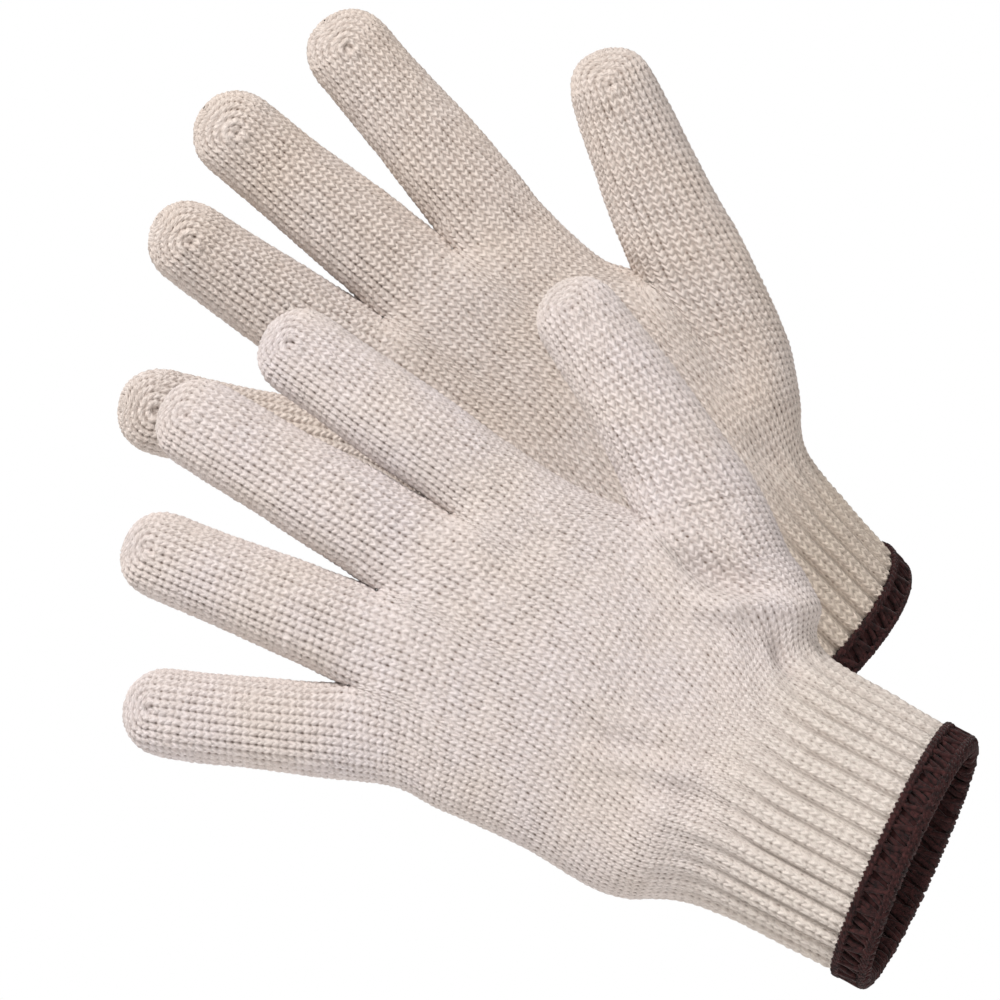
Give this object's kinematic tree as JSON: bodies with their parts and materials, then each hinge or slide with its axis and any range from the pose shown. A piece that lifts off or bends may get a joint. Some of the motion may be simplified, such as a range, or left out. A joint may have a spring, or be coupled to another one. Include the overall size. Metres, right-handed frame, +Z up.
{
  "type": "pair of string-knit work gloves",
  "caption": "Pair of seamless cream string-knit work gloves in their worn shape, with ribbed elastic cuffs and dark overlocked edges.",
  "frame": {"origin": "middle of the left glove's cuff opening, where the wearer's left wrist goes in", "axes": "+Z up; +X from the fingers towards the wrists; +Y from the left glove to the right glove, out of the left glove's palm side"},
  "size_m": [0.2379, 0.1893, 0.2705],
  "materials": {
    "plain_knit": "undyed cotton string knit in plain stitch, matt and slightly fuzzy",
    "rib_knit": "undyed cotton rib knit gathered by elastic, matt",
    "overlock_thread": "dark brown overlock stitching in bulked thread, matt",
    "elastic": "covered rubber thread, matt"
  },
  "bodies": {
    "left_glove": {"left_overlock_edge": "overlock_thread", "left_cuff": "rib_knit", "left_elastic_thread": "elastic", "left_hand": "plain_knit", "left_palm": "plain_knit"},
    "left_thumb_base": {"left_thumb_base": "plain_knit"},
    "left_thumb_tip": {"left_thumb_tip": "plain_knit"},
    "left_index_base": {"left_index_base": "plain_knit"},
    "left_index_tip": {"left_index_tip": "plain_knit"},
    "left_middle_base": {"left_middle_base": "plain_knit"},
    "left_middle_tip": {"left_middle_tip": "plain_knit"},
    "left_ring_base": {"left_ring_base": "plain_knit"},
    "left_ring_tip": {"left_ring_tip": "plain_knit"},
    "left_little_base": {"left_little_base": "plain_knit"},
    "left_little_tip": {"left_little_tip": "plain_knit"},
    "right_glove": {"right_overlock_edge": "overlock_thread", "right_cuff": "rib_knit", "right_elastic_thread": "elastic", "right_hand": "plain_knit", "right_palm": "plain_knit"},
    "right_thumb_base": {"right_thumb_base": "plain_knit"},
    "right_thumb_tip": {"right_thumb_tip": "plain_knit"},
    "right_index_base": {"right_index_base": "plain_knit"},
    "right_index_tip": {"right_index_tip": "plain_knit"},
    "right_middle_base": {"right_middle_base": "plain_knit"},
    "right_middle_tip": {"right_middle_tip": "plain_knit"},
    "right_ring_base": {"right_ring_base": "plain_knit"},
    "right_ring_tip": {"right_ring_tip": "plain_knit"},
    "right_little_base": {"right_little_base": "plain_knit"},
    "right_little_tip": {"right_little_tip": "plain_knit"}
  },
  "joints": [
    {"name": "gloves_apart", "type": "slide", "parent": "left_glove", "child": "right_glove", "axis": [0, 1, 0], "range_m": [0, 0.15]},
    {"name": "left_thumb_bend", "type": "hinge", "parent": "left_glove", "child": "left_thumb_base", "pos_m": [-0.06742, 0.02458, 0.10918], "axis": [-0.8542, 0, -0.5199], "range_deg": [0, 35]},
    {"name": "left_thumb_curl", "type": "hinge", "parent": "left_thumb_base", "child": "left_thumb_tip", "pos_m": [-0.07996, 0.02553, 0.12898], "axis": [-0.8343, 0, -0.5514], "range_deg": [0, 52.5]},
    {"name": "left_index_bend", "type": "hinge", "parent": "left_glove", "child": "left_index_base", "pos_m": [-0.12845, 0.02125, 0.11042], "axis": [-0.5749, 0, -0.8182], "range_deg": [0, 55]},
    {"name": "left_index_curl", "type": "hinge", "parent": "left_index_base", "child": "left_index_tip", "pos_m": [-0.14888, 0.02184, 0.12478], "axis": [-0.5749, 0, -0.8182], "range_deg": [0, 60.5]},
    {"name": "left_middle_bend", "type": "hinge", "parent": "left_glove", "child": "left_middle_base", "pos_m": [-0.14893, 0.02145, 0.09066], "axis": [-0.5145, 0, -0.8575], "range_deg": [0, 55]},
    {"name": "left_middle_curl", "type": "hinge", "parent": "left_middle_base", "child": "left_middle_tip", "pos_m": [-0.17271, 0.02227, 0.10492], "axis": [-0.5145, 0, -0.8575], "range_deg": [0, 60.5]},
    {"name": "left_ring_bend", "type": "hinge", "parent": "left_glove", "child": "left_ring_base", "pos_m": [-0.162, 0.02106, 0.06487], "axis": [-0.3841, 0, -0.9233], "range_deg": [0, 55]},
    {"name": "left_ring_curl", "type": "hinge", "parent": "left_ring_base", "child": "left_ring_tip", "pos_m": [-0.18466, 0.02186, 0.0743], "axis": [-0.3841, 0, -0.9233], "range_deg": [0, 60.5]},
    {"name": "left_little_bend", "type": "hinge", "parent": "left_glove", "child": "left_little_base", "pos_m": [-0.16645, 0.0205, 0.03633], "axis": [-0.0934, 0, -0.9956], "range_deg": [0, 55]},
    {"name": "left_little_curl", "type": "hinge", "parent": "left_little_base", "child": "left_little_tip", "pos_m": [-0.18763, 0.02117, 0.03856], "axis": [-0.1167, 0, -0.9932], "range_deg": [0, 60.5]},
    {"name": "right_thumb_bend", "type": "hinge", "parent": "right_glove", "child": "right_thumb_base", "pos_m": [-0.06635, 0.10238, 0.17267], "axis": [0.8942, 0, 0.4476], "range_deg": [0, 35]},
    {"name": "right_thumb_curl", "type": "hinge", "parent": "right_thumb_base", "child": "right_thumb_tip", "pos_m": [-0.07591, 0.10121, 0.19265], "axis": [0.9107, 0, 0.413], "range_deg": [0, 52.5]},
    {"name": "right_index_bend", "type": "hinge", "parent": "right_glove", "child": "right_index_base", "pos_m": [-0.12342, 0.10574, 0.18417], "axis": [0.7608, 0, 0.649], "range_deg": [0, 55]},
    {"name": "right_index_curl", "type": "hinge", "parent": "right_index_base", "child": "right_index_tip", "pos_m": [-0.13965, 0.10442, 0.2032], "axis": [0.7608, 0, 0.649], "range_deg": [0, 60.5]},
    {"name": "right_middle_bend", "type": "hinge", "parent": "right_glove", "child": "right_middle_base", "pos_m": [-0.14568, 0.10553, 0.16577], "axis": [0.6334, 0, 0.7738], "range_deg": [0, 55]},
    {"name": "right_middle_curl", "type": "hinge", "parent": "right_middle_base", "child": "right_middle_tip", "pos_m": [-0.16578, 0.1035, 0.18222], "axis": [0.6334, 0, 0.7738], "range_deg": [0, 60.5]},
    {"name": "right_ring_bend", "type": "hinge", "parent": "right_glove", "child": "right_ring_base", "pos_m": [-0.1623, 0.10587, 0.1435], "axis": [0.5702, 0, 0.8215], "range_deg": [0, 55]},
    {"name": "right_ring_curl", "type": "hinge", "parent": "right_ring_base", "child": "right_ring_tip", "pos_m": [-0.18103, 0.10372, 0.1565], "axis": [0.5702, 0, 0.8215], "range_deg": [0, 60.5]},
    {"name": "right_little_bend", "type": "hinge", "parent": "right_glove", "child": "right_little_base", "pos_m": [-0.16869, 0.10647, 0.11446], "axis": [0.227, 0, 0.9739], "range_deg": [0, 55]},
    {"name": "right_little_curl", "type": "hinge", "parent": "right_little_base", "child": "right_little_tip", "pos_m": [-0.18915, 0.1049, 0.11923], "axis": [0.227, 0, 0.9739], "range_deg": [0, 60.5]}
  ],
  "couplings": [
    {"joint": "left_thumb_curl", "follows": "left_thumb_bend", "ratio": 1.5},
    {"joint": "left_index_curl", "follows": "left_index_bend", "ratio": 1.1},
    {"joint": "left_middle_curl", "follows": "left_middle_bend", "ratio": 1.1},
    {"joint": "left_ring_curl", "follows": "left_ring_bend", "ratio": 1.1},
    {"joint": "left_little_curl", "follows": "left_little_bend", "ratio": 1.1},
    {"joint": "right_thumb_curl", "follows": "right_thumb_bend", "ratio": 1.5},
    {"joint": "right_index_curl", "follows": "right_index_bend", "ratio": 1.1},
    {"joint": "right_middle_curl", "follows": "right_middle_bend", "ratio": 1.1},
    {"joint": "right_ring_curl", "follows": "right_ring_bend", "ratio": 1.1},
    {"joint": "right_little_curl", "follows": "right_little_bend", "ratio": 1.1}
  ]
}
